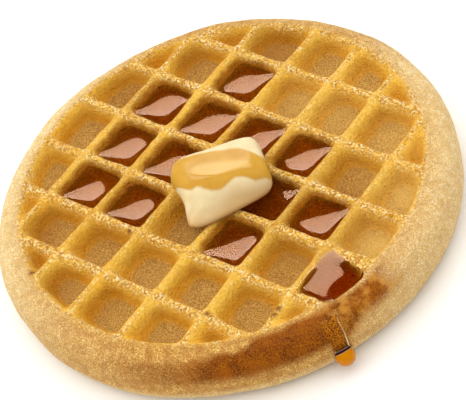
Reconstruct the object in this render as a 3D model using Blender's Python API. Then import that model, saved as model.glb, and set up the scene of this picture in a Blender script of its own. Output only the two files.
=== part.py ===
"""A round toasted waffle with a pat of butter and syrup in its wells. Metres, +Z up.

The waffle lies flat on its underside. Its ridges run along X and Y, and the origin is the middle
of its footprint.
"""

import math

import bmesh
import bpy

# Waffle
DIAMETER = 0.102
THICKNESS = 0.0118
RIM_INSET = 0.005
RIM_ROUNDNESS = 2.4
RIM_SEGMENTS = 72
RIM_STEPS = 10
# The outline's unevenness: waves round the rim, height as a share of the radius, and phase. The
# last two cancel out on both axes, so the origin stays the middle of the footprint.
RIM_WAVES = ((2, 0.0035, 0.6), (3, 0.0020, 2.1), (7, 0.0020, 2.1 + math.pi))

# Grid of wells, pressed into both faces by an iron that sat a little off the batter's centre
PITCH = 0.0131
GRID_CENTRE = (-0.00105, 0.00085)
GRID_RADIUS = 3.42 * PITCH
CREST_WIDTH = 0.10 * PITCH
CORNER_SOFTNESS = 0.0009
WELLS_OUT = 3
# The baked ridges lie a little off the iron's even lines. For each ridge, by the column or row of
# wells that it begins: how far it is shifted, and its slant.
COLUMN_RIDGES = {
    -2: (-0.0001, 0.023),
    -1: (-0.0001, 0.018),
    0: (0.0001, 0.030),
    1: (0.0001, 0.007),
    2: (-0.0001, -0.012),
    3: (0.0001, -0.020),
}
ROW_RIDGES = {
    -2: (0.0006, -0.005),
    -1: (-0.0001, 0.006),
    0: (0.0, 0.015),
    1: (-0.00015, -0.002),
    2: (-0.00015, -0.009),
    3: (0.0, 0.016),
}
# How the wall of a well goes down: inset from the crest's edge, and depth.
WELL_WALL = ((0.0, 0.0), (0.0005, 0.0006), (0.0013, 0.0030), (0.0020, 0.0036))
UNDERSIDE_WALL = ((0.0, 0.0), (0.0013, 0.0030), (0.0020, 0.0036))
CUTTER_RISE = 0.002
WELL_SIDES = 12
UNDERSIDE_SIDES = 12
FINE_RAYS = 96
SHALLOW_WELL_SHARE = 0.8

# Syrup: column, row and depth of the level below the crests
POOLS = (
    (-2, -1, 0.0026),
    (-1, -1, 0.0025),
    (1, -1, 0.0024),
    (-2, 0, 0.0025),
    (-1, 0, 0.0023),
    (1, 0, 0.0021),
    (2, 0, 0.0023),
    (-2, 1, 0.0023),
    (-1, 1, 0.0026),
    (0, 1, 0.0022),
    (1, 1, 0.0023),
    (-1, 2, 0.0026),
)
SPILL_WELL = (3, -1)
SPILL_LEVEL = 0.0006
GAP = 0.0003
POOL_FLOOR_INSET = 0.0021

# The run of syrup over the rim, and its drop
RUN_START_DEPTH = 0.0024
RUN_CORNER_DIRECTION = math.radians(-50)
RUN_CORNER_INSET = 0.0012
RUN_END_AZIMUTH = math.radians(-26.4)
RUN_END_ANGLE = -38
RUN_HALF_WIDTH = (0.0010, 0.0022, 0.0026, 0.0024, 0.0018)
RUN_THICKNESS = (0.0005, 0.0007, 0.0009, 0.0010)
RUN_STEPS = 12
# The run's cross-section: share of its half width, and share of its thickness.
RUN_LENS = ((-1, 0), (1, 0), (1, 0.35), (0.62, 0.85), (0, 1), (-0.62, 0.85), (-1, 0.35))
DROP_DIAMETER = 0.0044
DROP_HEIGHT = 0.0031
DROP_OUT = 0.0008

# Butter: corners of its foot and of its top, anticlockwise from the far left end
BUTTER_FOOT = ((-0.0114, -0.0023), (0.0050, -0.0154), (0.0144, 0.0014), (0.0018, 0.0118))
BUTTER_TOP = ((-0.0096, -0.0026), (-0.0004, -0.0108), (0.0130, 0.0036), (0.0030, 0.0110))
BUTTER_HEIGHT = 0.0062
BUTTER_SOFTNESS = 0.0011
BUTTER_SEGMENTS = 28
# How the butter's underside and side round off: share of its height, and inset.
BUTTER_SIDE = (
    (0.0, 0.0052),
    (0.0, 0.0040),
    (0.0, 0.0028),
    (0.0, 0.0016),
    (0.08, 0.0006),
    (0.25, 0.0),
    (0.55, 0.0),
    (0.8, 0.0005),
    (0.93, 0.0014),
    (1.0, 0.0028),
)
BUTTER_SAG = 0.0018
SAG_WELL = (0, -1)
SAG_START = 0.0009
SAG_RUN = 0.0018

CONTOUR_HALVINGS = 40


# Scene and materials


def clear_scene():
    for obj in list(bpy.data.objects):
        bpy.data.objects.remove(obj, do_unlink=True)


def principled(name, colour, roughness, transmission=0.0):
    material = bpy.data.materials.new(name)
    material.use_nodes = True
    shader = material.node_tree.nodes["Principled BSDF"]
    shader.inputs["Base Color"].default_value = (*colour, 1.0)
    shader.inputs["Roughness"].default_value = roughness
    shader.inputs["Metallic"].default_value = 0.0
    shader.inputs["Transmission Weight"].default_value = transmission
    return material


def add_object(name, bm, material, smooth_angle):
    bmesh.ops.recalc_face_normals(bm, faces=bm.faces)
    mesh = bpy.data.meshes.new(name)
    bm.to_mesh(mesh)
    bm.free()
    mesh.shade_smooth()
    mesh.set_sharp_from_angle(angle=smooth_angle)
    obj = bpy.data.objects.new(name, mesh)
    bpy.context.scene.collection.objects.link(obj)
    if material:
        obj.data.materials.append(material)
    return obj


def apply_boolean(obj, other, operation):
    """Joins or cuts obj by other, keeps the result in its mesh, and removes other."""
    modifier = obj.modifiers.new(operation.title(), "BOOLEAN")
    modifier.operation = operation
    modifier.solver = "EXACT"
    modifier.object = other
    bpy.context.view_layer.update()
    evaluated = obj.evaluated_get(bpy.context.evaluated_depsgraph_get())
    mesh = bpy.data.meshes.new_from_object(evaluated)
    obj.modifiers.clear()
    obj.data = mesh
    bpy.data.objects.remove(other, do_unlink=True)


# Outlines


def soft_min(values, softness):
    """The least of the values, rounded off where two of them are close."""
    low = min(values)
    return low - softness * math.log(sum(math.exp((low - value) / softness) for value in values))


def contour(inside, centre, angles, inset):
    """Where rays from centre meet the line on which inside(x, y) equals inset."""
    points = []
    for angle in angles:
        near = 0.0
        far = 2 * PITCH
        for _ in range(CONTOUR_HALVINGS):
            middle = (near + far) / 2
            x = centre[0] + middle * math.cos(angle)
            y = centre[1] + middle * math.sin(angle)
            if inside(x, y) > inset:
                near = middle
            else:
                far = middle
        points.append((centre[0] + near * math.cos(angle), centre[1] + near * math.sin(angle)))
    return points


def loft(bm, rings):
    """Closes a stack of rings with as many points each, from the lowest to the highest."""
    loops = [[bm.verts.new(point) for point in ring] for ring in rings]
    count = len(loops[0])
    for lower, upper in zip(loops, loops[1:]):
        for i in range(count):
            j = (i + 1) % count
            bm.faces.new((lower[i], lower[j], upper[j], upper[i]))
    bm.faces.new(loops[0][::-1])
    bm.faces.new(loops[-1])


# Wells


def well_centre(column, row):
    return (GRID_CENTRE[0] + column * PITCH, GRID_CENTRE[1] + row * PITCH)


def ridge_middle(ridges, number, along):
    """Where the middle of a ridge lies, across the grid, at a place along it."""
    shift, slant = ridges.get(number, (0.0, 0.0))
    return (number - 0.5) * PITCH + shift + slant * along


def well_inside(column, row):
    """A function of x and y: how far inside the edge of this well a point lies."""

    def inside(x, y):
        u = x - GRID_CENTRE[0]
        v = y - GRID_CENTRE[1]
        distances = (
            u - ridge_middle(COLUMN_RIDGES, column, v) - CREST_WIDTH / 2,
            ridge_middle(COLUMN_RIDGES, column + 1, v) - u - CREST_WIDTH / 2,
            v - ridge_middle(ROW_RIDGES, row, u) - CREST_WIDTH / 2,
            ridge_middle(ROW_RIDGES, row + 1, u) - v - CREST_WIDTH / 2,
            GRID_RADIUS - math.hypot(u, v),
        )
        return soft_min(distances, CORNER_SOFTNESS)

    return inside


def deepest_point(column, row):
    """The point of a well that is furthest inside it, to a fortieth of the pitch."""
    inside = well_inside(column, row)
    middle = well_centre(column, row)
    steps = [PITCH * k / 40 for k in range(-19, 20)]
    spots = [(middle[0] + dx, middle[1] + dy) for dx in steps for dy in steps]
    return max(spots, key=lambda spot: inside(*spot))


def well_angles(column, row, count):
    """The rays from a well's deepest point that draw its edge best with this many points."""
    inside = well_inside(column, row)
    angles = [math.tau * k / FINE_RAYS for k in range(FINE_RAYS)]
    points = contour(inside, deepest_point(column, row), angles, 0.0)
    while len(points) > count:
        areas = []
        for k, (x, y) in enumerate(points):
            x0, y0 = points[k - 1]
            x1, y1 = points[(k + 1) % len(points)]
            areas.append(abs((x - x0) * (y1 - y0) - (x1 - x0) * (y - y0)))
        least = areas.index(min(areas))
        del points[least]
        del angles[least]
    return angles


def wells():
    """Every cell of the grid that the iron's edge leaves in, as column and row."""
    span = range(-WELLS_OUT, WELLS_OUT + 1)
    return [(a, b) for a in span for b in span if abs(a) + abs(b) < 2 * WELLS_OUT]


def wall_at(wall, inset):
    """The depth of a well's wall at this inset."""
    for (inset_0, depth_0), (inset_1, depth_1) in zip(wall, wall[1:]):
        if inset <= inset_1:
            return depth_0 + (depth_1 - depth_0) * (inset - inset_0) / (inset_1 - inset_0)
    return wall[-1][1]


def inset_at(depth):
    """The inset at which a well's wall is this deep."""
    for (inset_0, depth_0), (inset_1, depth_1) in zip(WELL_WALL, WELL_WALL[1:]):
        if depth <= depth_1:
            return inset_0 + (inset_1 - inset_0) * (depth - depth_0) / (depth_1 - depth_0)
    return WELL_WALL[-1][0]


def well_levels(wall, most):
    """The wall's levels, ended early in a well that is too narrow for its full depth."""
    kept = [level for level in wall if level[0] < most * SHALLOW_WELL_SHARE]
    if len(kept) < len(wall):
        last = most * SHALLOW_WELL_SHARE
        kept.append((last, wall_at(wall, last)))
    return kept


def well_cutter(name, wall, sides, surface, down):
    """All wells of one face as one cutter. surface is the face's height and down is -1 or 1."""
    bm = bmesh.new()
    for column, row in wells():
        inside = well_inside(column, row)
        centre = deepest_point(column, row)
        angles = well_angles(column, row, sides)
        rings = []
        for inset, depth in well_levels(wall, inside(*centre)):
            z = surface + down * depth
            rings.append([(x, y, z) for x, y in contour(inside, centre, angles, inset)])
        rings.insert(0, [(x, y, surface - down * CUTTER_RISE) for x, y, _ in rings[0]])
        loft(bm, rings)
    return add_object(name, bm, None, math.radians(30))


# Waffle


def rim_radius(angle):
    waves = sum(height * math.sin(count * angle + phase) for count, height, phase in RIM_WAVES)
    return DIAMETER / 2 * (1 + waves)


def rim_section(steps, start=90.0, end=-90.0):
    """The rim's side as pairs: how far out past the flat face, and height, top to bottom."""
    points = []
    for k in range(steps + 1):
        angle = math.radians(start + (end - start) * k / steps)
        out = abs(math.cos(angle)) ** (2 / RIM_ROUNDNESS)
        up = math.copysign(abs(math.sin(angle)) ** (2 / RIM_ROUNDNESS), math.sin(angle))
        points.append((RIM_INSET * out, THICKNESS / 2 * (1 + up)))
    return points


def make_waffle(material):
    bm = bmesh.new()
    rings = []
    for out, z in reversed(rim_section(RIM_STEPS)):
        ring = []
        for k in range(RIM_SEGMENTS):
            angle = math.tau * k / RIM_SEGMENTS
            radius = rim_radius(angle) - RIM_INSET + out
            ring.append((radius * math.cos(angle), radius * math.sin(angle), z))
        rings.append(ring)
    loft(bm, rings)
    waffle = add_object("waffle", bm, material, math.radians(40))
    top_wells = well_cutter("top_wells", WELL_WALL, WELL_SIDES, THICKNESS, -1)
    apply_boolean(waffle, top_wells, "DIFFERENCE")
    under_wells = well_cutter("under_wells", UNDERSIDE_WALL, UNDERSIDE_SIDES, 0.0, 1)
    apply_boolean(waffle, under_wells, "DIFFERENCE")
    return waffle


# Syrup


def add_pool(bm, column, row, level):
    """A pool that fills its well up to a level, clear of the wall by the gap."""
    inside = well_inside(column, row)
    centre = deepest_point(column, row)
    angles = well_angles(column, row, WELL_SIDES)
    steep_inset, steep_depth = WELL_WALL[-2]
    levels = (
        (POOL_FLOOR_INSET, WELL_WALL[-1][1] - GAP),
        (steep_inset + GAP * 1.2, steep_depth),
        (inset_at(level) + GAP * 1.2, level),
    )
    rings = []
    for inset, depth in levels:
        z = THICKNESS - depth
        rings.append([(x, y, z) for x, y in contour(inside, centre, angles, inset)])
    loft(bm, rings)


def make_pools(material):
    for index, (column, row, level) in enumerate(POOLS, start=1):
        bm = bmesh.new()
        add_pool(bm, column, row, level)
        add_object(f"syrup_{index:02d}", bm, material, math.radians(30))


def gap_section(steps, end=-90.0):
    """The rim's side, thicker by the gap: how far out past the flat face, and height."""
    points = []
    for out, z in rim_section(steps, end=end):
        slope = math.atan2(z - THICKNESS / 2, out)
        points.append((out + GAP * math.cos(slope), z + GAP * math.sin(slope)))
    return points


def run_path():
    """The underside of the run as azimuth, radius and z: out of its well and down the rim."""
    inside = well_inside(*SPILL_WELL)
    start = deepest_point(*SPILL_WELL)
    route = [(*start, THICKNESS - RUN_START_DEPTH)]
    (corner,) = contour(inside, start, [RUN_CORNER_DIRECTION], RUN_CORNER_INSET)
    route.append((*corner, THICKNESS + GAP))
    path = [(math.atan2(y, x), math.hypot(x, y), z) for x, y, z in route]
    flat_radius = rim_radius(RUN_END_AZIMUTH) - RIM_INSET
    section = gap_section(RUN_STEPS, RUN_END_ANGLE)
    first_azimuth = path[-1][0]
    for k, (out, z) in enumerate(section, start=1):
        azimuth = first_azimuth + (RUN_END_AZIMUTH - first_azimuth) * k / len(section)
        path.append((azimuth, flat_radius + out, z))
    return path


def between(values, share):
    """The value at this share of the way through a list of values."""
    place = share * (len(values) - 1)
    k = min(int(place), len(values) - 2)
    return values[k] + (values[k + 1] - values[k]) * (place - k)


def add_run(bm):
    """The run as a lens-shaped ribbon that lies along the rim."""
    path = run_path()
    rings = []
    for k, (azimuth, radius, z) in enumerate(path):
        before = path[max(k - 1, 0)]
        after = path[min(k + 1, len(path) - 1)]
        length = math.hypot(after[1] - before[1], after[2] - before[2])
        outward = ((before[2] - after[2]) / length, (after[1] - before[1]) / length)
        share = k / (len(path) - 1)
        half = between(RUN_HALF_WIDTH, share)
        thickness = between(RUN_THICKNESS, share)
        ring = []
        for side, lift in RUN_LENS:
            out = radius + outward[0] * lift * thickness
            up = z + outward[1] * lift * thickness
            x = out * math.cos(azimuth) - side * half * math.sin(azimuth)
            y = out * math.sin(azimuth) + side * half * math.cos(azimuth)
            ring.append((x, y, up))
        rings.append(ring)
    loft(bm, rings)


def drop_centre():
    radius = rim_radius(RUN_END_AZIMUTH) + DROP_OUT
    across = math.cos(RUN_END_AZIMUTH)
    along = math.sin(RUN_END_AZIMUTH)
    return (radius * across, radius * along, DROP_HEIGHT)


def gap_body():
    """The waffle's round body, thicker by the gap, which cuts the drop where the two meet."""
    bm = bmesh.new()
    flat_radius = rim_radius(RUN_END_AZIMUTH) - RIM_INSET
    rings = []
    for out, z in reversed(gap_section(RIM_STEPS)):
        ring = []
        for k in range(RIM_SEGMENTS):
            angle = RUN_END_AZIMUTH + math.tau * k / RIM_SEGMENTS
            radius = flat_radius + out
            ring.append((radius * math.cos(angle), radius * math.sin(angle), z))
        rings.append(ring)
    loft(bm, rings)
    return add_object("gap_body", bm, None, math.radians(30))


def make_spill(material):
    """The full well by the rim, the syrup that runs from it and the drop at its end, as one."""
    bm = bmesh.new()
    add_pool(bm, *SPILL_WELL, SPILL_LEVEL)
    spill = add_object("syrup_spill", bm, material, math.radians(30))
    bm = bmesh.new()
    add_run(bm)
    apply_boolean(spill, add_object("run", bm, None, math.radians(30)), "UNION")
    bm = bmesh.new()
    bmesh.ops.create_icosphere(bm, subdivisions=2, radius=DROP_DIAMETER / 2)
    bmesh.ops.translate(bm, verts=bm.verts, vec=drop_centre())
    drop = add_object("drop", bm, None, math.radians(30))
    apply_boolean(drop, gap_body(), "DIFFERENCE")
    apply_boolean(spill, drop, "UNION")
    return spill


# Butter


def quad_inside(corners):
    """A function of x and y: how far inside a four-cornered outline with soft corners it lies."""

    def inside(x, y):
        distances = []
        for (x0, y0), (x1, y1) in zip(corners, corners[1:] + corners[:1]):
            length = math.hypot(x1 - x0, y1 - y0)
            distances.append(((x1 - x0) * (y - y0) - (y1 - y0) * (x - x0)) / length)
        return soft_min(distances, BUTTER_SOFTNESS)

    return inside


def butter_sag(x, y):
    """How far the underside of the butter hangs into the empty well beside it."""
    depth = well_inside(*SAG_WELL)(x, y)
    share = min(max((depth - SAG_START) / SAG_RUN, 0.0), 1.0)
    return BUTTER_SAG * share * share * (3 - 2 * share)


def make_butter(material):
    base = THICKNESS + GAP
    angles = [math.tau * k / BUTTER_SEGMENTS for k in range(BUTTER_SEGMENTS)]
    rings = []
    for share, inset in BUTTER_SIDE:
        corners = []
        for foot, top in zip(BUTTER_FOOT, BUTTER_TOP):
            corners.append(tuple(low + (high - low) * share for low, high in zip(foot, top)))
        centre = tuple(sum(values) / len(corners) for values in zip(*corners))
        ring = []
        for x, y in contour(quad_inside(corners), centre, angles, inset):
            z = base + share * BUTTER_HEIGHT - (1 - share) * butter_sag(x, y)
            ring.append((x, y, z))
        rings.append(ring)
    bm = bmesh.new()
    loft(bm, rings)
    return add_object("butter", bm, material, math.radians(50))


def main():
    clear_scene()
    crust = principled("crust", (0.62, 0.38, 0.12), 0.75)
    syrup = principled("syrup", (0.16, 0.04, 0.008), 0.06, 0.4)
    butter = principled("butter", (0.93, 0.80, 0.45), 0.35)
    make_waffle(crust)
    make_pools(syrup)
    make_spill(syrup)
    make_butter(butter)


main()
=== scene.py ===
"""The looks of the round toasted waffle with butter and syrup.

Metres, +Z up, origin under its middle.

Each solid is replaced by a finer mesh of the same form, worked out from the same named sizes.
"""

import math

import bmesh
import bpy
import numpy as np
from mathutils import Matrix, Vector
from mathutils.geometry import delaunay_2d_cdt


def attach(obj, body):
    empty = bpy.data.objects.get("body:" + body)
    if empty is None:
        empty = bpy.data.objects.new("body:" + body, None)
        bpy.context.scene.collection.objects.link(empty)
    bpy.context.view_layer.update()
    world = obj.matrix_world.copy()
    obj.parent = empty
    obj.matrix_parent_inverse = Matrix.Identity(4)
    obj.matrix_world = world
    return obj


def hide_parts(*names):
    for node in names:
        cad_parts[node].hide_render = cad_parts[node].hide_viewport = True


# Waffle and grid, as in the solids
DIAMETER = 0.102
THICKNESS = 0.0118
RIM_INSET = 0.005
RIM_ROUNDNESS = 2.4
RIM_WAVES = ((2, 0.0035, 0.6), (3, 0.0020, 2.1), (7, 0.0020, 2.1 + math.pi))
PITCH = 0.0131
# The middle of the grid, which is a little off the middle of the waffle
GRID_CENTRE = (-0.00105, 0.00085)
GRID_RADIUS = 3.42 * PITCH
CREST_WIDTH = 0.10 * PITCH
CORNER_SOFTNESS = 0.0009
CREST_CORNER_SOFTNESS = 0.0005
# Between which insets a well's corners turn from the crest's softness to the pool's
SOFTENING = (0.0002, 0.0018)
WELLS_OUT = 3
# Ridges that are out of place or not quite straight: shift and slant
COLUMN_RIDGES = {
    -2: (-0.0001, 0.023), -1: (-0.0001, 0.018), 0: (0.0001, 0.030),
    1: (0.0001, 0.007), 2: (-0.0001, -0.012), 3: (0.0001, -0.020),
}
ROW_RIDGES = {
    -2: (0.0006, -0.005), -1: (-0.0001, 0.006), 0: (0.0, 0.015),
    1: (-0.00015, -0.002), 2: (-0.00015, -0.009), 3: (0.0, 0.016),
}
# How deep a well is, by how far inside its edge
WELL_WALL = ((0.0, 0.0), (0.0005, 0.0006), (0.0013, 0.0030), (0.0020, 0.0036))
UNDERSIDE_WALL = ((0.0, 0.0), (0.0013, 0.0030), (0.0020, 0.0036))
WALL_ROUNDING = 0.00034
# How far each wall of a well runs out, as a share of WELL_WALL: at low x, high x, low y, high y
WALL_RUNS = (1.45, 1.0, 0.85, 0.95)
# How far the painted shade in the far left corner of each well reaches, where its walls shade the
# floor
CORNER_SHADE = 0.0038

# Syrup, as in the solids: column and row of the well, and how far its surface lies below the face
POOLS = (
    (-2, -1, 0.0026), (-1, -1, 0.0025), (1, -1, 0.0024), (-2, 0, 0.0025), (-1, 0, 0.0023),
    (1, 0, 0.0021), (2, 0, 0.0023), (-2, 1, 0.0023), (-1, 1, 0.0026), (0, 1, 0.0022),
    (1, 1, 0.0023), (-1, 2, 0.0026),
)
SPILL_WELL = (3, -1)
SPILL_LEVEL = 0.0006
# The full well reaches past the grid's circle, and narrows from here outwards
SPILL_WELL_REACH = 0.0012
SPILL_WELL_START = 0.034
SPILL_WELL_SLANT = 0.26

# How pale the rim's colour is, by bearing
PALE_RIM = (
    (-180, 1.0), (-125, 0.85), (-95, 0.3), (-70, 0.15), (-30, 0.15), (-8, 0.6), (30, 0.75),
    (65, 0.85), (85, 0.35), (140, 0.25), (165, 0.8), (180, 1.0),
)

# Where the crust is baked darker: place, reach and how much
BROWNED = (
    (0.022, 0.000, 0.016, 0.9), (-0.016, -0.012, 0.014, 0.7), (-0.015, 0.040, 0.010, 0.9),
    (-0.034, 0.014, 0.008, 1.0), (0.000, 0.010, 0.012, 0.6), (-0.026, -0.036, 0.006, 0.5),
    (-0.031, -0.027, 0.005, 0.9), (-0.031, 0.028, 0.005, 0.8), (-0.018, -0.0385, 0.004, 0.8),
    (-0.005, -0.0385, 0.004, 0.5),
)
# Where it is baked paler
FAIR = (
    (0.0395, 0.001, 0.0065, 1.0), (0.0380, 0.0145, 0.0065, 1.0), (0.0280, 0.0270, 0.009, 0.5),
    (0.0060, 0.0290, 0.012, 0.5),
)

# Small dark pores: place, reach and how dark
PORES = (
    (-0.0231, -0.0382, 0.0008, 1.0), (-0.0104, -0.0197, 0.0006, 0.9),
    (-0.0354, -0.0180, 0.0007, 0.9), (0.0321, -0.0232, 0.0008, 1.0),
    (0.0322, -0.0248, 0.0007, 1.0), (0.0193, -0.0307, 0.0007, 0.9), (-0.0146, 0.0063, 0.0005, 0.8),
    (0.0160, -0.0087, 0.0005, 0.7),
)

# Where the ring is soaked, by bearing: the least radius
SOAK_START = (
    (-90, 0.0485), (-60, 0.0475), (-50, 0.0468), (-43, 0.0448), (-34, 0.0446), (-20, 0.0453),
    (0, 0.0455),
)

# Where the crust's masks start and end, by how far inside its well's edge a point is
FLOOR_EDGE = (0.0014, 0.0024)
CORNER_EDGE = (0.0004, 0.0013)
CORNER_START = 0.001
COLUMN_CREST_EDGE = (-0.0004, 0.0002)
ROW_CREST_MORE = (0.0003, 0.0008)
ROW_SIDE_EDGE = (-0.0006, 0.0006)
WET_EDGE = (-0.0003, 0.0009)
FULL_WET_EDGE = (-0.0002, 0.0004)
SHALLOWEST_POOL = 0.001
# How strong the crumbs and painted glints are on column ridges near the middle, and the radii
# where they pick up
COLUMN_CRUMBS = 0.4
COLUMN_CRUMBS_RADII = (0.034, 0.042)
# Where the ring outside the grid starts, by how far outside its circle
RING_EDGE = (-0.0003, 0.0012)
# The ring is paler towards its outside, and the foot of the rim is painted paler as light bounced
# up from the floor
PALE_RADII = (0.0450, 0.0490)
PALE_WITHIN = 0.65
FOOT_BOUNCE_LIGHT = 0.75
FOOT_BOUNCE_SHARES = (0.5, 0.8)
# The crust is calmer under the run, down the side and on the floors of its wells
CALM_UNDER_RUN = 0.8
CALM_SIDE = 0.5
CALM_FLOOR = 0.7
# Bearings between which the crust is calm under the run, and darker and wet
CALM_BEARINGS = ((-30.5, -28.5), (-23.5, -21.5))
CALM_RADII = (0.043, 0.0438)
GLAZE_BEARINGS = ((-28.6, -27.8), (-24.2, -23.4))
GLAZE_RADII = (0.0474, 0.0490)
# The crust's unevenness, from coarse to crumbs: height, size of its bumps and seed
BUMPS = (
    (0.00020, 0.0095, 1), (0.00013, 0.0034, 2), (0.00008, 0.0015, 3), (0.00004, 0.0007, 4),
    (0.00012, 0.0011, 5), (0.00008, 0.0006, 7),
)
# How its looks waver: how far, size and seed
CREST_WOBBLE = (0.0002, 0.0012, 9)
WET_WOBBLE = (0.0003, 0.0012, 6)
PALE_WOBBLE = (0.0008, 0.003, 11)
SOAK_WOBBLE = (0.0006, 0.002, 10)
SOAK_BEARING_WOBBLE = (6, 0.006, 8)
# How far the syrup has soaked into the rim: by bearing, past SOAK_START, and down the side
SOAK_BEARINGS = ((-88, -52), (-12, 4))
SOAK_EDGE = (-0.0008, 0.0012)
SOAK_DOWN = (0.08, 0.34)
SOAK_DOWN_MORE = 0.16
SOAK_DOWN_BEARINGS = (-24, -18)
DRIER_BEARINGS = (-31, -23)

# Mesh of the waffle: lines per well, denser over the ridges than over the floors
RIDGE_LINES = 12
FLOOR_LINES = 16
RIDGE_SHARE = 0.2
UNDER_RIDGE_LINES = 4
UNDER_FLOOR_LINES = 6
GRID_REACH = 0.0042
RING_REACH = 0.0040
RIM_SEGMENTS = 640
RIM_RINGS = 34

NOISE_SIZE = 65536
NOISE_PRIMES = (73856093, 19349663, 83492791)

# Halvings that find an outline
HALVINGS = 40


# Noise and small maths


def noise(points, size, seed):
    """Smooth noise from -1 to 1 whose bumps are about this size apart."""
    table = np.random.default_rng(seed).uniform(-1, 1, NOISE_SIZE)
    place = points / size
    cell = np.floor(place).astype(np.int64)
    share = place - cell
    share = share * share * (3 - 2 * share)
    total = np.zeros(len(points))
    for corner in range(8):
        bits = ((corner >> 2) & 1, (corner >> 1) & 1, corner & 1)
        weight = np.ones(len(points))
        key = np.zeros(len(points), np.int64)
        for axis, (bit, prime) in enumerate(zip(bits, NOISE_PRIMES)):
            weight *= share[:, axis] if bit else 1 - share[:, axis]
            key ^= (cell[:, axis] + bit) * prime
        total += weight * table[key % NOISE_SIZE]
    return total


def wobble(points, height, size, seed):
    return height * noise(points, size, seed)


def bell(place, width, value):
    return np.exp(-(((value - place) / width) ** 2))


def smooth(low, high, value):
    """From 0 at low to 1 at high, eased at both ends."""
    share = np.clip((value - low) / (high - low), 0, 1)
    return share * share * (3 - 2 * share)


def between(ends, value):
    """1 between two ends, each given by where its slope starts and stops, and 0 outside them."""
    return smooth(*ends[0], value) * (1 - smooth(*ends[1], value))


def table_value(table, share):
    return np.interp(share, *np.array(table).T)


def soft_min(values, softness):
    """The least of the values, rounded off where two of them are close."""
    stack = np.stack(values)
    low = stack.min(axis=0)
    return low - softness * np.log(np.exp((low - stack) / softness).sum(axis=0))


def rounded_curve(points, rounding):
    """A function that follows a line of points, with its corners rounded off."""
    step = 0.00002
    places = np.arange(-0.004, 0.008, step)
    heights = np.interp(places, *np.array(points).T)
    reach = np.arange(-4 * rounding, 4 * rounding + step, step)
    weights = np.exp(-((reach / rounding) ** 2) / 2)
    heights = np.convolve(heights, weights / weights.sum(), mode="same")
    return lambda place: np.interp(place, places, heights)


def outline(x0, y0, angles, furthest, inside_of, inset):
    """How far from a place, at each angle, a shape's inside falls to the inset."""
    near = np.zeros(len(angles))
    far = np.full(len(angles), furthest)
    for _ in range(HALVINGS):
        middle = (near + far) / 2
        inside = inside_of(x0 + middle * np.cos(angles), y0 + middle * np.sin(angles))
        near = np.where(inside > inset, middle, near)
        far = np.where(inside > inset, far, middle)
    return near


# The grid of wells


def ridge_table(ridges):
    """Shift and slant of ridges -8 to 8, as arrays."""
    return np.array([ridges.get(number, (0.0, 0.0)) for number in range(-8, 9)]).T


COLUMN_TABLE = ridge_table(COLUMN_RIDGES)
ROW_TABLE = ridge_table(ROW_RIDGES)


def ridge_middle(table, number, along):
    shift, slant = table[:, number + 8]
    return (number - 0.5) * PITCH + shift + slant * along


def across_wells(table, count, along):
    """Where a place counted in wells lies, between ridges that aren't quite straight."""
    below = np.floor(count + 0.5).astype(int)
    share = count + 0.5 - below
    return (1 - share) * ridge_middle(table, below, along) + share * ridge_middle(
        table, below + 1, along
    )


def place_of(s, t):
    """x and y of a place counted in wells along both axes."""
    u = s * PITCH
    v = t * PITCH
    for _ in range(4):
        u, v = across_wells(COLUMN_TABLE, s, v), across_wells(ROW_TABLE, t, u)
    return u + GRID_CENTRE[0], v + GRID_CENTRE[1]


def cell_of(x, y):
    """The column and row of the well, or of the place for one, that each point is in."""
    u = x - GRID_CENTRE[0]
    v = y - GRID_CENTRE[1]
    column = np.zeros(len(x), int)
    row = np.zeros(len(x), int)
    for number in range(-7, 8):
        column = np.where(u >= ridge_middle(COLUMN_TABLE, number, v), number, column)
        row = np.where(v >= ridge_middle(ROW_TABLE, number, u), number, row)
    return column, row


def wall_distances(x, y, column, row):
    """How far each point is inside the four ridges and the circle of its well."""
    u = x - GRID_CENTRE[0]
    v = y - GRID_CENTRE[1]
    half = CREST_WIDTH / 2
    spilled = (column == SPILL_WELL[0]) & (row == SPILL_WELL[1])
    narrowed = SPILL_WELL_SLANT * np.maximum(x - SPILL_WELL_START, 0) * spilled
    return [
        u - ridge_middle(COLUMN_TABLE, column, v) - half,
        ridge_middle(COLUMN_TABLE, column + 1, v) - u - half,
        v - ridge_middle(ROW_TABLE, row, u) - half,
        ridge_middle(ROW_TABLE, row + 1, u) - v - half - narrowed,
        GRID_RADIUS + SPILL_WELL_REACH * spilled - np.hypot(u, v),
    ]


def well_inside(x, y):
    """How far inside the edge of its well each point is, and which well it is."""
    column, row = cell_of(x, y)
    distances = wall_distances(x, y, column, row)
    for k, run in enumerate(WALL_RUNS):
        distances[k] = distances[k] / run
    sharp = soft_min(distances, CREST_CORNER_SOFTNESS)
    soft = soft_min(distances, CORNER_SOFTNESS)
    inside = sharp + (soft - sharp) * smooth(*SOFTENING, sharp)
    is_well = (np.abs(column) <= WELLS_OUT) & (np.abs(row) <= WELLS_OUT)
    is_well &= np.abs(column) + np.abs(row) < 2 * WELLS_OUT
    return np.where(is_well, inside, -PITCH), column, row


top_depth = rounded_curve(WELL_WALL, WALL_ROUNDING)
under_depth = rounded_curve(UNDERSIDE_WALL, WALL_ROUNDING)


# Rim


def rim_radius(angle):
    waves = sum(height * np.sin(count * angle + phase) for count, height, phase in RIM_WAVES)
    return DIAMETER / 2 * (1 + waves)


def rim_drop(x, y):
    """How far the rim has rounded down from the flat face at each point, as a share of half the
    thickness."""
    out = np.hypot(x, y) - rim_radius(np.arctan2(y, x)) + RIM_INSET
    share = np.clip(out / RIM_INSET, 0, 1)
    return 1 - (1 - share**RIM_ROUNDNESS) ** (1 / RIM_ROUNDNESS)


def top_height(x, y):
    inside, _, _ = well_inside(x, y)
    return THICKNESS - rim_drop(x, y) * THICKNESS / 2 - top_depth(inside)


def under_height(x, y):
    inside, _, _ = well_inside(x, y)
    return rim_drop(x, y) * THICKNESS / 2 + under_depth(inside)


# Meshes


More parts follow.
